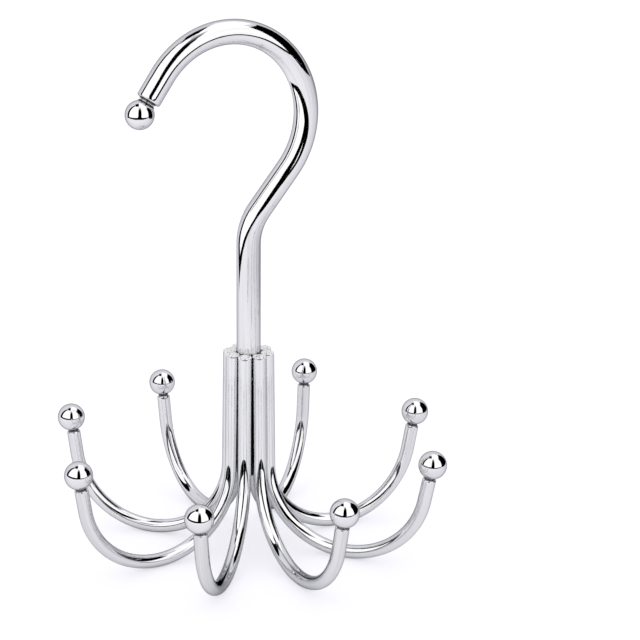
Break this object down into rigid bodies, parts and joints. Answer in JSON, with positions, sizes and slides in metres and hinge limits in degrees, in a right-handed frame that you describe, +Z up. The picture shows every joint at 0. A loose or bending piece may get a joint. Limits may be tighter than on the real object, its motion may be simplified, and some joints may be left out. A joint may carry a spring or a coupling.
{
  "type": "tie hanger",
  "caption": "Chrome wire hanger for ties, scarves and belts: a large hook rod with a ring of J-shaped arms welded round its shank, each tipped with a ball.",
  "frame": {"origin": "on the shank's axis, level with the lowest points of the arms, where the hanger stands", "axes": "+Z up along the shank; the hook lies in the XZ plane with its tip towards -X; +Y completes the frame"},
  "size_m": [0.1204, 0.1211, 0.1587],
  "materials": {
    "chrome_rod": "bright chrome plate on drawn steel wire",
    "chrome_ball": "mirror-bright chrome plate",
    "plated_weld": "uneven plated weld metal, duller than the rods"
  },
  "bodies": {
    "root": {"hook_rod": "chrome_rod", "hook_ball": "chrome_ball", "hook_ball_weld": "plated_weld", "arm_rod_1": "chrome_rod", "arm_ball_1": "chrome_ball", "arm_ball_weld_1": "plated_weld", "bundle_weld_1": "plated_weld", "arm_rod_2": "chrome_rod", "arm_ball_2": "chrome_ball", "arm_ball_weld_2": "plated_weld", "bundle_weld_2": "plated_weld", "arm_rod_3": "chrome_rod", "arm_ball_3": "chrome_ball", "arm_ball_weld_3": "plated_weld", "bundle_weld_3": "plated_weld", "arm_rod_4": "chrome_rod", "arm_ball_4": "chrome_ball", "arm_ball_weld_4": "plated_weld", "bundle_weld_4": "plated_weld", "arm_rod_5": "chrome_rod", "arm_ball_5": "chrome_ball", "arm_ball_weld_5": "plated_weld", "bundle_weld_5": "plated_weld", "arm_rod_6": "chrome_rod", "arm_ball_6": "chrome_ball", "arm_ball_weld_6": "plated_weld", "bundle_weld_6": "plated_weld", "arm_rod_7": "chrome_rod", "arm_ball_7": "chrome_ball", "arm_ball_weld_7": "plated_weld", "bundle_weld_7": "plated_weld", "arm_rod_8": "chrome_rod", "arm_ball_8": "chrome_ball", "arm_ball_weld_8": "plated_weld", "bundle_weld_8": "plated_weld"}
  },
  "joints": []
}
